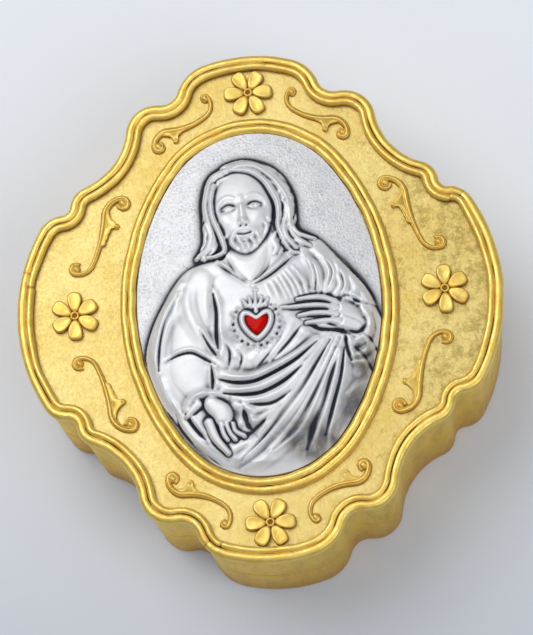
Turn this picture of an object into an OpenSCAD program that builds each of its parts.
// Small gilt keepsake box for a rosary. A scalloped tray carries a hinged lid, dressed with
// applied mouldings, scrolls and flowers round a domed silver medallion.
// Z is up, the hinge is at the back on +Y, and the origin is the middle of the underside.

/* [Case] */
// Width over the rim, side to side
case_w = 64; // [62:0.5:68]
// Length over the rim, front to back, without the hinge
case_l = 69.3; // [67:0.5:74]
// Height of the tray, from its underside to the parting line
tray_h = 10.4; // [9:0.1:14]
// Height of the lid, from the parting line to its top plate
lid_h = 10.2; // [8:0.1:14]
// Thickness of the tray wall and the lid skirt
wall_t = 1.1; // [0.8:0.05:1.2]
// Thickness of the tray floor
floor_t = 1.2; // [0.8:0.1:2]
// Thickness of the lid's top plate
plate_t = 1.2; // [0.8:0.1:2]
// Gap between the skirt and the tray at the parting line
parting_gap = 0.15; // [0.1:0.05:0.3]

/* [Scalloped outline] */
// Radius of the front and back lobes
end_lobe_r = 19.8; // [18:0.1:22]
// Half the angle over which an end lobe runs, in degrees
end_lobe_turn = 17.2; // [14:0.1:20]
// Radius of the corners of an end lobe
end_corner_r = 5.6; // [4.5:0.1:6.5]
// Radius of the notch beside an end lobe
end_notch_r = 2.3; // [2:0.1:3]
// Radius of the shoulder next to that notch
shoulder_r = 4.2; // [3.8:0.1:4.6]
// Distance of the shoulder's centre from the long centre line
shoulder_x = 12.6; // [12:0.05:13.2]
// Distance of the shoulder's centre from the front or back edge
shoulder_drop = 10.2; // [9.6:0.05:10.6]
// Radius of the long hollow sweep between shoulder and corner
sweep_r = 9.1; // [8.5:0.1:14]
// Radius of the corner between the sweep and the side notch
corner_r = 3.1; // [2.9:0.1:3.4]
// Distance of that corner's centre from the side edge
corner_inset = 10.5; // [10.1:0.05:10.9]
// Distance of that corner's centre from the cross centre line
corner_y = 14.8; // [14.4:0.05:15.2]
// Radius of the notch beside a side lobe
side_notch_r = 1.2; // [1.1:0.1:1.6]
// Radius of the corners of a side lobe
side_corner_r = 3.6; // [3.2:0.1:4.4]
// Radius of the side lobes
side_lobe_r = 24.3; // [22:0.1:28]
// Half the angle over which a side lobe runs, in degrees
side_lobe_turn = 30.4; // [29:0.1:31.5]

/* [Collar and lining] */
// Thickness of the collar inside the tray
band_t = 0.6; // [0.5:0.05:0.8]
// Height of the collar above the parting line
lip_h = 1.8; // [1.2:0.1:2.5]
// Gap between the collar and the lid skirt
lip_gap = 0.25; // [0.2:0.05:0.35]
// How far in front of the hinge the raised part of the collar stops
lip_stop = 28; // [25:0.5:40]
// Thickness of the velvet lining pads
lining_t = 1.4; // [0.8:0.1:2.5]
// Gap round a lining pad
lining_gap = 0.05; // [0.05:0.05:0.2]

/* [Rim moulding] */
// How far the moulding overhangs the wall
rim_over = 0.4; // [0.2:0.05:0.5]
// Radius of the inner roll
rim_inner_r = 0.5; // [0.4:0.05:0.65]
// Radius of the outer roll
rim_outer_r = 0.72; // [0.5:0.02:0.8]
// Height of the inner roll's centre above the top plate
rim_inner_z = 0.55; // [0.3:0.05:0.8]
// Height of the outer roll's centre above the top plate
rim_outer_z = 0.2; // [0.1:0.05:0.5]
// Depth by which the two rolls run into each other
rim_merge = 0.28; // [0.1:0.02:0.4]

/* [Bezel and medallion] */
// Length of the medallion opening
opening_l = 46.8; // [44:0.2:48]
// Width of the medallion opening
opening_w = 32.2; // [30:0.2:33]
// Radius of the narrow ends of the opening
opening_end_r = 12.6; // [11.8:0.1:13.4]
// Radius of each of the bezel's two rolls
bezel_roll_r = 0.62; // [0.5:0.02:0.7]
// Height of the outer roll's centre above the top plate
bezel_outer_z = 0.3; // [0.1:0.05:0.5]
// Height of the inner roll's centre above the top plate
bezel_inner_z = 0.62; // [0.3:0.02:0.9]
// Gap between the medallion and the bezel
medallion_gap = 0.1; // [0.05:0.05:0.2]
// Thickness of the medallion at its edge
medallion_edge_t = 0.9; // [0.6:0.1:1.4]
// Rise of the medallion's dome above its edge
dome_h = 1.9; // [1:0.1:3]
// Height of the strongest relief above the dome
relief_h = 1.3; // [0.6:0.1:1.6]
// Width of the enamelled heart
heart_w = 3.2; // [2.6:0.1:3.6]
// Width of the silver frame on each side of the heart
heart_frame = 0.7; // [0.5:0.05:0.9]
// Depth of the enamel
enamel_t = 0.8; // [0.5:0.1:1.2]
// Height of the heart's frame above its surroundings
heart_frame_h = 0.35; // [0.2:0.05:0.5]

/* [Flowers and scrolls] */
// Radius of a flower over its petals
flower_r = 3.3; // [2.8:0.1:3.6]
// Width of a petal
petal_w = 2; // [1.6:0.1:2.2]
// Height of a flower
flower_h = 0.9; // [0.6:0.05:1.2]
// Distance of the end flowers from the edge of the rim
end_flower_in = 5.35; // [5:0.05:6]
// Distance of the side flowers from the edge of the rim
side_flower_in = 7.7; // [7:0.05:8.5]
// Half the width of a scroll's rod
rod_r = 0.42; // [0.3:0.02:0.5]
// Height of a scroll's rod above the top plate
rod_h = 0.7; // [0.4:0.05:0.9]
// Radius of the bead in the eye of a volute
bead_r = 0.52; // [0.45:0.02:0.6]
// Height of that bead's centre above the top plate
bead_z = 0.28; // [0:0.02:0.4]
// Height of the centres of the leaf's lobes above the top plate
leaf_z = 0.08; // [0:0.02:0.3]
// Overall size of an end scroll
end_scroll_size = 10; // [9:0.1:10.5]
// Overall size of a side scroll, as a share of the field from the opening to the side edge
side_scroll_fill = 0.629; // [0.56:0.001:0.65]
// Distance of an end scroll's start from the long centre line
end_scroll_x = 5.74; // [5.5:0.02:6.2]
// Distance of an end scroll's start from the front or back edge
end_scroll_in = 6; // [5.8:0.1:6.4]
// Distance of the side scrolls from the cross centre line, a fifth of the way up them
side_scroll_y = 9.06; // [8.8:0.02:9.3]

/* [Hinge] */
// Radius of the knuckles
knuckle_r = 1.3; // [1.1:0.05:1.5]
// Radius of the pin
pin_r = 0.6; // [0.5:0.05:0.7]
// Play between the pin and the lid's knuckle
pin_play = 0.05; // [0.03:0.01:0.1]
// Length of the whole barrel
barrel_l = 12; // [10:0.5:13]
// Length of the lid's knuckle
lid_knuckle_l = 4.6; // [3.5:0.1:6]
// Gap between neighbouring knuckles
knuckle_gap = 0.2; // [0.15:0.05:0.3]
// Gap between the barrel and the back wall
barrel_gap = 0.3; // [0.25:0.05:0.5]
// Thickness of the leaves at the middle
leaf_t = 0.8; // [0.6:0.05:1]
// Height of each leaf
leaf_h = 4.5; // [3:0.1:5]
// Height of the stop heel below the axis when the lid is open
heel_reach = 2.3; // [2.1:0.1:2.6]
// Angle at which the heel meets the tray's leaf
open_angle = 100; // [90:1:110]
// Gap left between the heel and the leaf at that angle
heel_gap = 0.05; // [0.03:0.01:0.1]

/* [Hidden] */

$fa = 4;
$fs = 0.1;

GILT = [0.90, 0.76, 0.34];
POLISHED_GILT = [0.85, 0.66, 0.20];
SILVER = [0.78, 0.79, 0.80];
ENAMEL_RED = [0.80, 0.05, 0.05];
VELVET = [0.42, 0.05, 0.10];

field_z = tray_h + lid_h;
wall_in = rim_over + wall_t;
lip_in = wall_in + lip_gap;
band_in = lip_in + band_t;
back_y = case_l / 2 - rim_over;
hinge_y = back_y + barrel_gap + knuckle_r;
hinge_z = tray_h;
big = 2 * case_l;

// ---- Scalloped outline: nine arcs a quadrant, from the +Y lobe round to the +X lobe ----

function unit(v) = v / norm(v);

// Centre of the circle that touches two others, on the left of the way from a to b, where
// ra and rb are its distances from their centres
function touching(a, ra, b, rb) =
    let (d = norm(b - a), u = (b - a) / d, along = (d * d + ra * ra - rb * rb) / (2 * d))
    a + u * along + [-u[1], u[0]] * sqrt(ra * ra - along * along);

end_c = [0, case_l / 2 - end_lobe_r];
end_corner_c = end_c + (end_lobe_r - end_corner_r) * [sin(end_lobe_turn), cos(end_lobe_turn)];
shoulder_c = [shoulder_x, case_l / 2 - shoulder_drop];
corner_c = [case_w / 2 - corner_inset, corner_y];
side_c = [case_w / 2 - side_lobe_r, 0];
side_corner_c = side_c
    + (side_lobe_r - side_corner_r) * [cos(side_lobe_turn), sin(side_lobe_turn)];

ARC_R = [end_lobe_r, end_corner_r, end_notch_r, shoulder_r, sweep_r, corner_r,
    side_notch_r, side_corner_r, side_lobe_r];
// 1 where the arc bulges out of the box, -1 where it is a hollow
ARC_OUT = [1, 1, -1, 1, -1, 1, -1, 1, 1];
ARC_C = [end_c, end_corner_c,
    touching(end_corner_c, end_corner_r + end_notch_r, shoulder_c, shoulder_r + end_notch_r),
    shoulder_c,
    touching(shoulder_c, shoulder_r + sweep_r, corner_c, corner_r + sweep_r),
    corner_c,
    touching(corner_c, corner_r + side_notch_r, side_corner_c, side_corner_r + side_notch_r),
    side_corner_c, side_c];
LAST = len(ARC_R) - 1;
ARC_STEP = 30;

// Direction from the centre of arc i to the point where it meets arc i + 1
function meet_dir(i) =
    let (u = unit(ARC_C[i + 1] - ARC_C[i]))
    ARC_OUT[i] == ARC_OUT[i + 1] && ARC_R[i] < ARC_R[i + 1] ? -u : u;

function dir(a) = [cos(a), sin(a)];
function angle_of(v) = atan2(v[1], v[0]);
// Angles of arc i's two ends, seen from its centre
function arc_from(i) = i == 0 ? 90 : angle_of(meet_dir(i - 1) * arc_flip(i));
function arc_flip(i) = ARC_OUT[i - 1] == ARC_OUT[i] ? 1 : -1;
function arc_to(i) = i == LAST ? 0 : angle_of(meet_dir(i));

// Turn from one end of arc i to the other, between -180 and 180
function arc_turn(i) = (arc_to(i) - arc_from(i) + 540) % 360 - 180;

// Steps that an arc of radius r takes for a turn, finer on tight arcs
function steps(r, turn) = max(2, ceil(sqrt(r) * abs(turn) / ARC_STEP));

// Stations of the outline, each a point of the rim's edge and the direction straight out
QUADRANT = concat(
    [for (i = [0 : LAST]) let (n = steps(ARC_R[i], arc_turn(i)))
        for (k = [0 : n - 1])
            let (t = dir(arc_from(i) + arc_turn(i) * k / n))
            [ARC_C[i] + ARC_R[i] * t, ARC_OUT[i] * t]],
    [[[case_w / 2, 0], [1, 0]]]);

function flipped(s, sx, sy) = [[sx * s[0][0], sy * s[0][1]], [sx * s[1][0], sy * s[1][1]]];

// A quadrant's stations carried round all four quadrants, clockwise from +Y
function all_round(q) = let (n = len(q) - 1) concat(
    [for (i = [0 : n - 1]) q[i]],
    [for (i = [n : -1 : 1]) flipped(q[i], 1, -1)],
    [for (i = [0 : n - 1]) flipped(q[i], -1, -1)],
    [for (i = [n : -1 : 1]) flipped(q[i], -1, 1)]);

OUTLINE = all_round(QUADRANT);

// The outline of the rim, grown by d
module outline(d) {
    polygon([for (s = OUTLINE) s[0] + d * s[1]]);
}

// A profile carried round a closed run of stations, with x as distance out and y as height
module carried(stations, profile) {
    n = len(stations);
    m = len(profile);
    function at(i, j) = (i % n) * m + j % m;
    polyhedron([for (s = stations, p = profile) let (q = s[0] + p[0] * s[1]) [q[0], q[1], p[1]]],
        [for (i = [0 : n - 1], j = [0 : m - 1])
            each [[at(i, j), at(i, j + 1), at(i + 1, j + 1)],
                [at(i, j), at(i + 1, j + 1), at(i + 1, j)]]]);
}

// Points of a roll's section, from step k of n between two angles
function roll(c, r, from, to, k, n) = [for (i = [k : n]) c + r * dir(from + (to - from) * i / n)];

ROLL_STEPS = 3;

// Section of two rolls side by side, from the foot of the inner to the outer's outermost point
function two_rolls(inner_c, inner_r, outer_c, outer_r) =
    let (valley = touching(inner_c, inner_r, outer_c, outer_r))
    concat([[inner_c[0] - inner_r, 0]],
        roll(inner_c, inner_r, 180, angle_of(valley - inner_c), 0, ROLL_STEPS),
        roll(outer_c, outer_r, angle_of(valley - outer_c), 0, 1, ROLL_STEPS));

// ---- Oval of four arcs, for the medallion and its bezel ----

end_gap = opening_w / 2 - opening_end_r;
oval_end_y = opening_l / 2 - opening_end_r;
oval_side_x = (oval_end_y * oval_end_y - end_gap * end_gap) / (2 * end_gap);
oval_side_r = oval_side_x + opening_w / 2;
// Angle, from the X axis, at which an end arc takes over from a side arc
oval_meet = atan2(oval_end_y, oval_side_x);

OVAL_END_STEPS = 12;
OVAL_SIDE_STEPS = 11;

OVAL = all_round(concat(
    [for (k = [0 : OVAL_END_STEPS - 1])
        let (t = dir(90 + (oval_meet - 90) * k / OVAL_END_STEPS))
        [[0, oval_end_y] + opening_end_r * t, t]],
    [for (k = [0 : OVAL_SIDE_STEPS])
        let (t = dir(oval_meet * (1 - k / OVAL_SIDE_STEPS)))
        [[-oval_side_x, 0] + oval_side_r * t, t]]));

// ---- Tray ----

module tray_section(inset, from_z, to_z) {
    translate([0, 0, from_z]) linear_extrude(to_z - from_z) outline(-inset);
}

module base_pan() {
    color(GILT)
        difference() {
            tray_section(rim_over, 0, tray_h);
            tray_section(wall_in, floor_t, tray_h + 1);
        }
}

// Collar: full height of the tray wall, and raised past the parting line away from the hinge
module inner_band() {
    color(POLISHED_GILT)
        difference() {
            union() {
                tray_section(wall_in, floor_t, tray_h);
                intersection() {
                    tray_section(lip_in, tray_h, tray_h + lip_h);
                    translate([-big / 2, hinge_y - lip_stop - big, 0]) cube(big);
                }
            }
            tray_section(band_in, floor_t - 1, tray_h + lip_h + 1);
        }
}

module base_lining() {
    color(VELVET) tray_section(band_in + lining_gap, floor_t, floor_t + lining_t);
}

// ---- Lid ----

module lid_shell() {
    color(GILT)
        difference() {
            tray_section(rim_over, tray_h + parting_gap, field_z);
            tray_section(wall_in, tray_h, field_z - plate_t);
        }
}

module lid_lining() {
    color(VELVET)
        tray_section(wall_in + lining_gap, field_z - plate_t - lining_t, field_z - plate_t);
}

// Two rolls side by side; the outer one laps over the edge of the plate
module rim_moulding() {
    outer_c = [-rim_outer_r, rim_outer_z];
    inner_c = [-2 * rim_outer_r - rim_inner_r + rim_merge, rim_inner_z];
    lap = acos((rim_outer_r - rim_over) / rim_outer_r);
    color(POLISHED_GILT)
        translate([0, 0, field_z])
            carried(OUTLINE, concat(two_rolls(inner_c, rim_inner_r, outer_c, rim_outer_r),
                roll(outer_c, rim_outer_r, 0, -lap, 1, 2), [[-rim_over, 0]]));
}

// Two rolls round the opening, the inner one higher
module bezel() {
    inner_c = [bezel_roll_r, bezel_inner_z];
    outer_c = [3 * bezel_roll_r - rim_merge, bezel_outer_z];
    color(POLISHED_GILT)
        translate([0, 0, field_z])
            carried(OVAL, concat(two_rolls(inner_c, bezel_roll_r, outer_c, bezel_roll_r),
                [[outer_c[0] + bezel_roll_r, 0]]));
}

// ---- Medallion: a domed oval with a figure in relief, and the heart set in it ----

COLUMNS = 44;
ROWS = 64;
// Share of the way from the middle to the edge over which the relief runs out at the edge
EDGE_FADE = 0.07;
heart_at = [-0.2, -3.6];
head_at = [-1.45, 12.3];
// Half width and half height of the head, how much narrower the jaw is, and the head's tilt
head_half = [4.15, 6.3];
jaw_in = 0.25;
head_turn = 4;

// Outline of the robed body, from the neck down the right arm and round to the left shoulder
BODY = [[-5.5, 5.7], [-7.1, 5.2], [-9.1, 4.4], [-10.9, 2.6], [-13, -0.7], [-14.6, -4.5],
    [-15, -7], [-14.5, -9.6], [-13.2, -12.9], [-10.7, -16.6], [-7.5, -20], [-4.5, -22.8],
    [-0.6, -24.4], [3.7, -24.1], [8.4, -22.2], [12.6, -18.1], [15.3, -13.8], [16.7, -9.8],
    [16.6, -5.9], [15.4, -2.3], [14.5, 0.1], [12.7, 2.4], [11.3, 4.1], [9.6, 6.3], [8.1, 7.7],
    [5.4, 8.7], [3.4, 6.6], [0.9, 6.1], [-2.4, 6.6]];
// How far into the body its edge is rounded
BODY_ROUND = 2.2;
BODY_SHARE = 0.38;

// Masses, folds, hollows and parts laid over them: each a height as a share of the whole
// relief, and its line as points of [x, y, half width] from the middle of the medallion
MASSES = [
    // wide sleeve, upper arm and forearm on the right
    [0.42, [[-9.8, 2.5, 0.8], [-12, -1.5, 1.2], [-13.6, -5.5, 1.3], [-14, -9.3, 1.1],
        [-12.6, -13.2, 0.9]]],
    [0.56, [[-7.2, 2.6, 2.2], [-8.2, -0.8, 2.9], [-8.9, -3.9, 3.2], [-9.2, -6.5, 3.2]]],
    [0.51, [[-9.3, -7.1, 3.4], [-9.5, -9.6, 3.1], [-8.3, -12.3, 1.9]]],
    // chest
    [0.5, [[-4.2, 2.1, 2.2], [-0.6, -1.1, 4.7], [1.6, -4.8, 5.3], [-1.6, -7.1, 4.1]]],
    // left shoulder and elbow
    [0.51, [[6.3, 3.2, 2.8], [9.6, 1.6, 3], [12, -0.8, 2.6], [13.6, -2.5, 1.6]]],
    [0.48, [[14.2, -5.7, 1.5], [13.4, -8.6, 1.8], [12.4, -10.7, 1.2]]],
    // skirts
    [0.4, [[-2.5, -13.4, 3.4], [1.7, -15.9, 5], [2.1, -19.8, 4.1]]],
    [0.36, [[12.3, -12, 2.8], [10.3, -16, 3.1], [7.6, -19.9, 2.5]]],
];
FOLDS = [
    // sleeve and side of the robe
    [0.26, [[-10.2, 1.4, 0.6], [-11.5, -0.5, 0.8], [-12.8, -3.3, 0.9], [-13.8, -9.3, 0.6]]],
    [0.24, [[-9.1, 2.5, 0.9], [-9.2, -0.7, 1.1], [-7.9, -4, 1], [-6.3, -6.4, 0.8]]],
    [0.2, [[-6.3, 2.2, 0.9], [-6.6, -0.9, 1], [-6, -3.8, 0.8]]],
    [0.27, [[-4.7, -4.3, 0.7], [-4.6, -6.8, 1], [-5, -8.7, 0.9]]],
    [0.26, [[5.9, -5.1, 0.7], [4, -7.2, 0.8], [1.4, -8.9, 0.9]]],
    // cuff over the hanging hand
    [0.34, [[-10.1, -14.9, 0.6], [-9.4, -13.2, 0.7], [-7.8, -12.3, 0.7], [-4.5, -13, 0.6]]],
    [0.24, [[-13.1, -10.3, 0.8], [-12.5, -12.6, 0.9], [-11, -14.5, 0.8]]],
    // gathers of the mantle on the left shoulder
    [0.34, [[6.3, 5.4, 0.7], [7.6, 3.4, 0.8], [8.1, 1.1, 0.8], [8, -0.2, 0.6]]],
    [0.34, [[8, 5.9, 0.8], [9.7, 3.5, 0.9], [9.6, 1.3, 0.9], [8.8, -0.1, 0.6]]],
    [0.32, [[9.9, 4.8, 0.8], [11.2, 2.8, 0.9], [11.3, 0.6, 0.8], [10.1, -0.5, 0.6]]],
    [0.28, [[11.8, 2.7, 0.8], [13, 0.7, 0.9], [12.4, -0.8, 0.7]]],
    // cuff at the raised wrist
    [0.4, [[13.6, -2.2, 0.6], [14.4, -4.2, 0.8], [13.7, -5.9, 0.8], [12.1, -6.7, 0.6]]],
    [0.32, [[14.8, -2.4, 0.6], [15.5, -4.6, 0.7], [15, -6.8, 0.7], [11.7, -8.7, 0.6]]],
    // three folds of the sash
    [0.42, [[-5.9, -9.6, 0.7], [-3.6, -10.4, 0.8], [-1.1, -10.6, 0.8], [1.4, -9.7, 0.8],
        [4.5, -8.2, 0.7], [8.7, -5.5, 0.6]]],
    [0.42, [[-5.5, -11.3, 0.7], [-3.4, -12.1, 0.8], [-0.6, -11.9, 0.8], [2.6, -10.6, 0.8],
        [5.1, -9, 0.8], [9.3, -5.5, 0.6]]],
    [0.38, [[-3.7, -13.3, 0.6], [-0.7, -13.6, 0.8], [2.5, -12.5, 0.8], [4.7, -10.8, 0.8],
        [6.8, -8.4, 0.8]]],
    // long falls of the mantle
    [0.42, [[9.8, -5.6, 0.6], [7.9, -8.4, 0.8], [5.9, -11.5, 0.9], [3.6, -14.5, 0.9],
        [0.7, -17.8, 0.9], [-4.6, -21.8, 0.6]]],
    [0.38, [[10.3, -5.6, 0.6], [8.8, -9.2, 0.8], [7.4, -12.6, 0.9], [5.3, -16.2, 0.9],
        [2.7, -19.2, 0.9], [-3, -22.6, 0.6]]],
    [0.35, [[10.8, -6, 0.6], [9.6, -9.9, 0.8], [8.3, -13.3, 0.9], [7, -17, 0.9], [6.2, -20.4, 0.7]]],
    [0.3, [[11.1, -6.8, 0.6], [10.7, -10.6, 0.9], [9.7, -14.3, 0.9], [7.9, -20.9, 0.6]]],
    [0.24, [[-3.5, -16.5, 0.7], [-0.2, -16.1, 0.8], [2.7, -14.4, 0.7]]],
    [0.26, [[-10.5, -16.6, 0.6], [-8.6, -19.3, 0.7], [-5.7, -21.8, 0.7], [-2.4, -23.6, 0.6]]],
    // edges of the neck opening
    [0.24, [[-5, 5.3, 0.7], [-3.2, 3.9, 0.7], [-0.7, 2.1, 0.7], [1.7, 3.2, 0.7], [4.7, 5.8, 0.7]]],
];
HOLLOWS = [
    // beside the robe, under the sleeve and round the raised hand
    [0.3, [[-5.7, 0.8, 0.6], [-5.4, -1.7, 0.7], [-5.5, -4.2, 0.7], [-5.4, -6.6, 0.7]]],
    [0.24, [[-12.2, -7.5, 0.5], [-8.9, -6.9, 0.6], [-5.9, -8.6, 0.6]]],
    [0.3, [[-2.6, -14.9, 0.7], [-2.1, -16.6, 0.8], [-1.5, -17.6, 0.8]]],
    [0.26, [[6.1, -4.4, 0.6], [7.8, -5.1, 0.7], [11.7, -5.7, 0.7], [11.7, -9.2, 0.5]]],
];
OVERLAID = [
    // hair on both sides of the head
    [0.6, [[-3.2, 17.6, 1.3], [-5.1, 16.4, 1.2], [-5.8, 13.4, 1.1], [-5.7, 10.4, 1.1],
        [-5.3, 8, 1.2], [-6.6, 6.2, 0.9]]],
    [0.64, [[-3.2, 17.9, 1.1], [-0.8, 18, 1.4], [2.2, 16.6, 1.5], [4, 13.8, 1.4],
        [4.3, 11, 1.4], [4.4, 8.6, 1.3], [6.2, 7, 1.1]]],
    // throat
    [0.38, [[-1.1, 8.2, 2.5], [-0.8, 5.2, 2.2], [-0.7, 2.6, 0.7]]],
    // hanging hand: palm, thumb and fingers
    [0.72, [[-6.7, -13.9, 1.2], [-5.5, -14.9, 1.5], [-5.2, -15.8, 1.4]]],
    [0.68, [[-8.4, -13.6, 0.8], [-9.8, -15, 0.6]]],
    [0.68, [[-7.1, -16.1, 0.8], [-6.3, -18.2, 0.8], [-4.8, -20.2, 0.6]]],
    [0.7, [[-5.4, -16.7, 0.6], [-4.8, -18.4, 0.5]]],
    [0.7, [[-4.2, -16.5, 0.6], [-3.2, -18.2, 0.5]]],
    // raised hand: back of the hand, then its fingers
    [0.8, [[12.6, -3.9, 1.2], [11.4, -3, 1.5], [10.1, -2.5, 1.5]]],
    [0.78, [[9.5, -1.4, 0.7], [7.4, -0.8, 0.6], [5.1, -0.7, 0.5]]],
    [0.8, [[9.4, -2.2, 0.6], [6.7, -1.9, 0.6], [3.2, -1.7, 0.5]]],
    [0.76, [[9.6, -3.3, 0.7], [7.4, -3.6, 0.6], [5.8, -3.2, 0.5]]],
    // crown on the heart
    [0.74, [[-1.2, -1.5, 0.5], [-0.2, -1.6, 0.6], [0.9, -1.5, 0.5]]],
    [0.72, [[-0.2, -1.5, 0.5], [-0.2, -0.2, 0.6]]],
];
// A plain face, drawn upright from the middle of the head, and mirrored
FACE_RAISED = [
    [0.08, [[0.5, 1, 0.6], [1.6, 1.3, 0.7], [2.7, 0.8, 0.6]]],
    [0.22, [[0, 1, 0.6], [0, -0.6, 0.8], [0, -1.7, 0.9]]],
    [0.1, [[2.3, -1.2, 1.1], [2.2, -1.6, 1.2]]],
    [0.16, [[0.2, -2.9, 0.5], [1.4, -3.2, 0.6], [2, -4.6, 0.6]]],
    [0.2, [[3.2, -2.6, 0.8], [2.2, -4.9, 1], [0, -5.8, 1.2]]],
];
FACE_SUNK = [
    [0.16, [[1, 0.2, 0.7], [1.7, 0.2, 0.9], [2.4, 0.1, 0.7]]],
];

// Distance from p to the leg between a and b, as a share of the leg's half width there
function near(p, a, b) =
    let (ab = [b[0] - a[0], b[1] - a[1]], ap = [p[0] - a[0], p[1] - a[1]])
    let (t = max(0, min(1, (ap * ab) / (ab * ab))))
    norm(ap - t * ab) / (a[2] + t * (b[2] - a[2]));

function nearest(p, line) = min([for (i = [1 : len(line) - 1]) near(p, line[i - 1], line[i])]);

// Steep-sided and gentle rises of 0 to 1 across a line
function steep(q) = q < 1 ? sqrt(1 - q * q * q) : 0;
function gentle(q) = q < 1 ? pow(1 - q * q, 2) : 0;

function highest_steep(p, runs) = max([for (r = runs) r[0] * steep(nearest(p, r[1]))]);
function highest_gentle(p, runs) = max([for (r = runs) r[0] * gentle(nearest(p, r[1]))]);

// Whether a level line to the left of p crosses the edge from a to b
function crosses(p, a, b) =
    (a[1] > p[1]) != (b[1] > p[1]) && p[0] > a[0] + (p[1] - a[1]) * (b[0] - a[0]) / (b[1] - a[1]);

function edge_of(shape, i) = [shape[i], shape[(i + 1) % len(shape)]];

function is_inside(p, shape) =
    len([for (i = [0 : len(shape) - 1])
        let (e = edge_of(shape, i)) if (crosses(p, e[0], e[1])) 1]) % 2 == 1;

// Distance from p to a closed shape's outline
function depth_in(p, shape) =
    min([for (i = [0 : len(shape) - 1])
        let (e = edge_of(shape, i)) near(p, [e[0][0], e[0][1], 1], [e[1][0], e[1][1], 1])]);

// Height of the robed body, as a share of the whole relief
function body_share(p) =
    !is_inside(p, BODY) ? 0
    : let (q = 1 - min(1, depth_in(p, BODY) / BODY_ROUND))
        max(BODY_SHARE * sqrt(1 - q * q), highest_steep(p, MASSES))
            + highest_gentle(p, FOLDS) - highest_gentle(p, HOLLOWS);

HEAD_SHARE = 0.75;

// Height of the head and its face, as a share of the whole relief
function head_share(p) =
    let (d = p - head_at, c = cos(head_turn), s = sin(head_turn))
    let (f = [c * d[0] + s * d[1], c * d[1] - s * d[0]], m = [abs(f[0]), f[1]])
    let (half_w = head_half[0] * (1 - jaw_in * pow(max(0, -f[1] / head_half[1]), 2)))
    let (q = norm([f[0] / half_w, f[1] / head_half[1]]))
    q >= 1 ? 0
    : HEAD_SHARE * steep(q) + highest_gentle(m, FACE_RAISED) - highest_gentle(m, FACE_SUNK);

function relief_z(p) = relief_h * max(0, body_share(p), highest_steep(p, OVERLAID), head_share(p));

// Height of the plain dome above its edge
function dome_z(p) =
    dome_h * (1 - pow(p[0] / (opening_w / 2), 2) - pow(p[1] / (opening_l / 2), 2));

heart_top_z = medallion_edge_t + dome_z(heart_at) + relief_z(heart_at) + heart_frame_h;

// Point where the oval's side and end arcs meet, in the first quadrant
oval_join = [0, oval_end_y] + opening_end_r * dir(oval_meet);

// Distance from the middle to the medallion's edge, along a unit vector
function medallion_reach(way) =
    let (w = [abs(way[0]), abs(way[1])])
    let (on_side = w[1] * oval_join[0] < w[0] * oval_join[1])
    let (c = on_side ? [-oval_side_x, 0] : [0, oval_end_y])
    let (r = (on_side ? oval_side_r : opening_end_r) - medallion_gap)
    w * c + sqrt(pow(w * c, 2) - c * c + r * r);

// Point of the top at column i and row j of a square grid that is drawn out to fill the oval
function medallion_point(i, j) =
    let (u = 2 * i / COLUMNS - 1, v = 2 * j / ROWS - 1)
    let (d = [u * sqrt(1 - v * v / 2), v * sqrt(1 - u * u / 2)], out = norm(d))
    let (way = out > 0 ? unit([d[0] * opening_w, d[1] * opening_l]) : [1, 0])
    let (xy = out * medallion_reach(way) * way, fade = max(0, min(1, (1 - out) / EDGE_FADE)))
    [xy[0], xy[1], medallion_edge_t + max(0, dome_z(xy)) * min(1, 2 * fade) + fade * relief_z(xy)];

module medallion_body() {
    top = [for (j = [0 : ROWS], i = [0 : COLUMNS]) medallion_point(i, j)];
    function at(i, j) = j * (COLUMNS + 1) + i;
    function drop(k, l) = abs(top[k][2] - top[l][2]);
    function is_corner(i, j) = i % (COLUMNS - 1) == 0 && j % (ROWS - 1) == 0;
    // Whether a cell is split from a to c, which is the more level way, or outward at a corner
    function is_rising(i, j, a, b, c, d) =
        is_corner(i, j) ? (i == 0) == (j == 0) : drop(a, c) < drop(b, d);
    ring = concat([for (i = [0 : COLUMNS - 1]) at(i, 0)], [for (j = [0 : ROWS - 1]) at(COLUMNS, j)],
        [for (i = [COLUMNS : -1 : 1]) at(i, ROWS)], [for (j = [ROWS : -1 : 1]) at(0, j)]);
    n = len(ring);
    first = len(top);
    polyhedron(concat(top, [for (k = ring) [top[k][0], top[k][1], 0]]), concat(
        [for (j = [0 : ROWS - 1], i = [0 : COLUMNS - 1])
            let (a = at(i, j), b = at(i, j + 1), c = at(i + 1, j + 1), d = at(i + 1, j))
            each is_rising(i, j, a, b, c, d) ? [[a, b, c], [a, c, d]] : [[a, b, d], [b, c, d]]],
        [for (k = [0 : n - 1])
            let (l = (k + 1) % n)
            each [[ring[k], ring[l], first + l], [ring[k], first + l, first + k]]],
        [[for (k = [0 : n - 1]) first + k]]));
}

// Heart of width w, with its middle at the origin
module heart(w) {
    for (s = [1, -1])
        translate([s * 0.24 * w, 0.12 * w]) circle(0.26 * w);
    polygon([[-0.475 * w, 0.01 * w], [0, -0.44 * w], [0.475 * w, 0.01 * w], [0, 0.32 * w]]);
}

module heart_block(w, from_z, to_z) {
    translate([heart_at[0], heart_at[1], from_z]) linear_extrude(to_z - from_z) heart(w);
}

module medallion() {
    color(SILVER)
        translate([0, 0, field_z])
            difference() {
                union() {
                    medallion_body();
                    heart_block(heart_w + 2 * heart_frame, medallion_edge_t, heart_top_z);
                }
                heart_block(heart_w, heart_top_z - enamel_t, heart_top_z + 1);
            }
}

module heart_enamel() {
    color(ENAMEL_RED)
        translate([0, 0, field_z])
            heart_block(heart_w, heart_top_z - enamel_t, heart_top_z - 0.1);
}

// ---- Applied flowers and scrolls, drawn on z = 0 ----

PETALS = 6;

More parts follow.
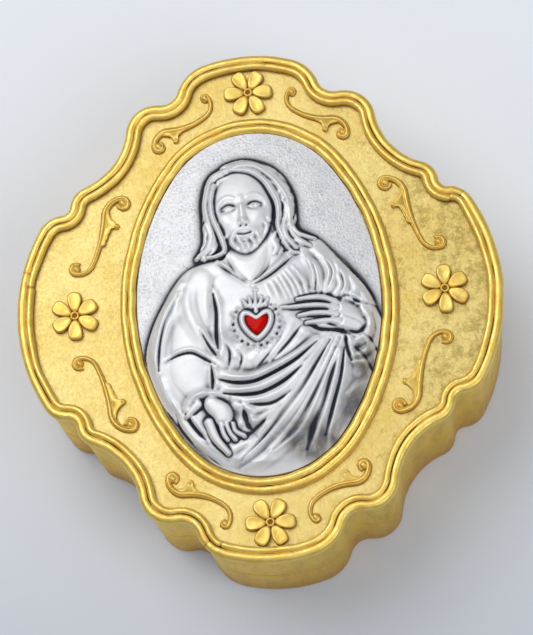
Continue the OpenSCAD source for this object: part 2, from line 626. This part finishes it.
module petal() {
    crown_r = petal_w * 1.2;
    intersection() {
        linear_extrude(flower_h)
            union() {
                translate([0, flower_r - petal_w / 2]) circle(petal_w / 2);
                polygon([[-petal_w / 6, 0], [petal_w / 6, 0],
                    [petal_w / 2, flower_r - petal_w / 2], [-petal_w / 2, flower_r - petal_w / 2]]);
            }
        translate([0, flower_r * 0.58, flower_h - crown_r]) sphere(crown_r);
    }
}

module flower(at, turn) {
    color(GILT)
        translate([at[0], at[1], field_z])
            rotate(turn)
                union() {
                    for (k = [0 : PETALS - 1]) rotate(k * 360 / PETALS) petal();
                    cylinder(h = flower_h * 0.6, r = petal_w * 0.42);
                    translate([0, 0, flower_h * 0.6]) rotate_extrude()
                        translate([petal_w * 0.3, 0]) circle(petal_w * 0.1);
                }
}

module flower_back() { flower([0, case_l / 2 - end_flower_in], 180 / PETALS); }
module flower_front() { flower([0, end_flower_in - case_l / 2], 180 / PETALS); }
module flower_right() { flower([case_w / 2 - side_flower_in, 0], 0); }
module flower_left() { flower([side_flower_in - case_w / 2, 0], 0); }

// Side scrolls fill the field beside the opening, and keep clear of the bezel and the rim
side_scroll_size = side_scroll_fill * (case_w - opening_w) / 2;

// Each scroll is a size, a start point, a heading, tangent arcs of [radius, turn], left turns
// positive, the places of its leaf's lobes from the start point, and their radii.
// Lengths are shares of the size, and the start point is in the first quadrant.
END_SCROLL = [end_scroll_size, [end_scroll_x, case_l / 2 - end_scroll_in], -12.6,
    [[0.04, 245], [0.192, 88], [0.783, 40], [0.209, -93], [0.062, -244]],
    [[0.52, -0.35], [0.46, -0.42], [0.413, -0.505], [0.37, -0.365]],
    [0.075, 0.06, 0.05, 0.05]];
SIDE_SCROLL = [side_scroll_size,
    [opening_w / 2 + 0.74 * side_scroll_size, side_scroll_y - 0.2 * side_scroll_size], 36,
    [[0.073, -204], [0.211, -77], [1.96, -20], [0.261, 82], [0.073, 272]],
    [[-0.38, 0.6], [-0.45, 0.54], [-0.52, 0.52], [-0.385, 0.46], [-0.37, 0.36]],
    [0.075, 0.06, 0.05, 0.06, 0.05]];

function left_of(heading) = [-sin(heading), cos(heading)];
function arc_centre(at, heading, arc) = at + sign(arc[1]) * arc[0] * left_of(heading);
// Point and heading after a share of an arc
function along(at, heading, arc, share) =
    let (h = heading + share * arc[1])
    [arc_centre(at, heading, arc) - sign(arc[1]) * arc[0] * left_of(h), h];

// Points and headings down a run of tangent arcs
function rod_path(at, heading, arcs, i = 0) =
    i == len(arcs) ? [[at, heading]]
    : let (n = steps(arcs[i][0], arcs[i][1]), end = along(at, heading, arcs[i], 1))
        concat([for (k = [0 : n - 1]) along(at, heading, arcs[i], k / n)],
            rod_path(end[0], end[1], arcs, i + 1));

SIDES = 5;
TAPER = 4;

// Half-round rod along a path, narrowed towards both ends
module rod(path) {
    n = len(path);
    m = SIDES + 1;
    function narrow(i) = 0.75 + 0.25 * min(1, i / TAPER, (n - 1 - i) / TAPER);
    function side(i, j) =
        let (a = 180 * j / SIDES, q = path[i][0] + rod_r * narrow(i) * cos(a) * left_of(path[i][1]))
        [q[0], q[1], rod_h * narrow(i) * sin(a)];
    function at(i, j) = i * m + j % m;
    polyhedron([for (i = [0 : n - 1], j = [0 : SIDES]) side(i, j)], concat(
        [[for (j = [0 : SIDES]) j]],
        [for (i = [0 : n - 2], j = [0 : SIDES])
            each [[at(i, j), at(i + 1, j + 1), at(i, j + 1)],
                [at(i, j), at(i + 1, j), at(i + 1, j + 1)]]],
        [[for (j = [SIDES : -1 : 0]) at(n - 1, j)]]));
}

// Ball of radius r with its centre z above the top plate, cut off at the plate
module bead(p, r, z) {
    translate([p[0], p[1], 0])
        rotate_extrude()
            intersection() {
                translate([0, z]) circle(r);
                square(r + z);
            }
}

module flip(sx, sy) {
    mirror([1 - sx, 0, 0]) mirror([0, 1 - sy, 0]) children();
}

module scroll(shape, sx, sy) {
    size = shape[0];
    start = shape[1];
    arcs = [for (arc = shape[3]) [arc[0] * size, arc[1]]];
    path = rod_path(start, shape[2], arcs);
    tail = path[len(path) - 1];
    eyes = [arc_centre(start, shape[2], arcs[0]),
        arc_centre(tail[0], tail[1], arcs[len(arcs) - 1])];
    color(GILT)
        translate([0, 0, field_z])
            flip(sx, sy)
                union() {
                    rod(path);
                    for (eye = eyes) bead(eye, bead_r, bead_z);
                    for (i = [0 : len(shape[4]) - 1])
                        bead(start + size * shape[4][i], size * shape[5][i], leaf_z);
                }
}

module end_scroll_back_right() { scroll(END_SCROLL, 1, 1); }
module end_scroll_back_left() { scroll(END_SCROLL, -1, 1); }
module end_scroll_front_right() { scroll(END_SCROLL, 1, -1); }
module end_scroll_front_left() { scroll(END_SCROLL, -1, -1); }
module side_scroll_back_right() { scroll(SIDE_SCROLL, 1, 1); }
module side_scroll_back_left() { scroll(SIDE_SCROLL, -1, 1); }
module side_scroll_front_right() { scroll(SIDE_SCROLL, 1, -1); }
module side_scroll_front_left() { scroll(SIDE_SCROLL, -1, -1); }

// ---- Hinge ----

// Plate against the curved back wall, over half a barrel's length each way
module leaf_plate(half_l, from_z, to_z) {
    translate([0, 0, from_z])
        linear_extrude(to_z - from_z)
            difference() {
                translate([-half_l, back_y - wall_t]) square([2 * half_l, wall_t + leaf_t]);
                outline(-rim_over);
            }
}

// Cylinder about the hinge axis, from one x to another
module on_axis(from_x, to_x, r) {
    translate([from_x, hinge_y, hinge_z])
        rotate([0, 90, 0]) cylinder(h = to_x - from_x, r = r);
}

// Height above or below the axis at which a leaf clears the other leaf's knuckles
leaf_start = knuckle_r + barrel_gap;
half_barrel = barrel_l / 2;
half_lid_knuckle = lid_knuckle_l / 2;
knuckle_from = half_lid_knuckle + knuckle_gap;

module hinge_base_leaf() {
    color(POLISHED_GILT)
        difference() {
            union() {
                leaf_plate(half_barrel, hinge_z - leaf_start - leaf_h, hinge_z - leaf_start);
                difference() {
                    leaf_plate(half_barrel, hinge_z - leaf_start, hinge_z);
                    translate([-knuckle_from, 0, 0]) cube([2 * knuckle_from, big, big]);
                }
                on_axis(knuckle_from, half_barrel, knuckle_r);
                on_axis(-half_barrel, -knuckle_from, knuckle_r);
            }
            on_axis(-half_barrel - 1, half_barrel + 1, pin_r);
        }
}

module hinge_lid_leaf() {
    from_z = hinge_z + barrel_gap;
    color(POLISHED_GILT)
        difference() {
            union() {
                leaf_plate(half_barrel, hinge_z + leaf_start, hinge_z + leaf_start + leaf_h);
                leaf_plate(half_lid_knuckle, from_z, hinge_z + leaf_start);
                on_axis(-half_lid_knuckle, half_lid_knuckle, knuckle_r);
                stop_heel();
            }
            on_axis(-half_lid_knuckle - 1, half_lid_knuckle + 1, pin_r + pin_play);
        }
}

// Heel on the lid's knuckle, drawn as it stands when the lid is open and swung back to rest
module stop_heel() {
    front = leaf_t - barrel_gap - knuckle_r + heel_gap;
    translate([0, hinge_y, hinge_z])
        rotate([open_angle, 0, 0])
            translate([-half_lid_knuckle, front, -heel_reach])
                cube([lid_knuckle_l, pin_r - front, heel_reach]);
}

module hinge_pin() {
    color(POLISHED_GILT) on_axis(-half_barrel, half_barrel, pin_r);
}

base_pan();
inner_band();
base_lining();
hinge_base_leaf();
hinge_pin();
lid_shell();
rim_moulding();
bezel();
medallion();
heart_enamel();
flower_back();
flower_front();
flower_right();
flower_left();
end_scroll_back_right();
end_scroll_back_left();
end_scroll_front_right();
end_scroll_front_left();
side_scroll_back_right();
side_scroll_back_left();
side_scroll_front_right();
side_scroll_front_left();
lid_lining();
hinge_lid_leaf();
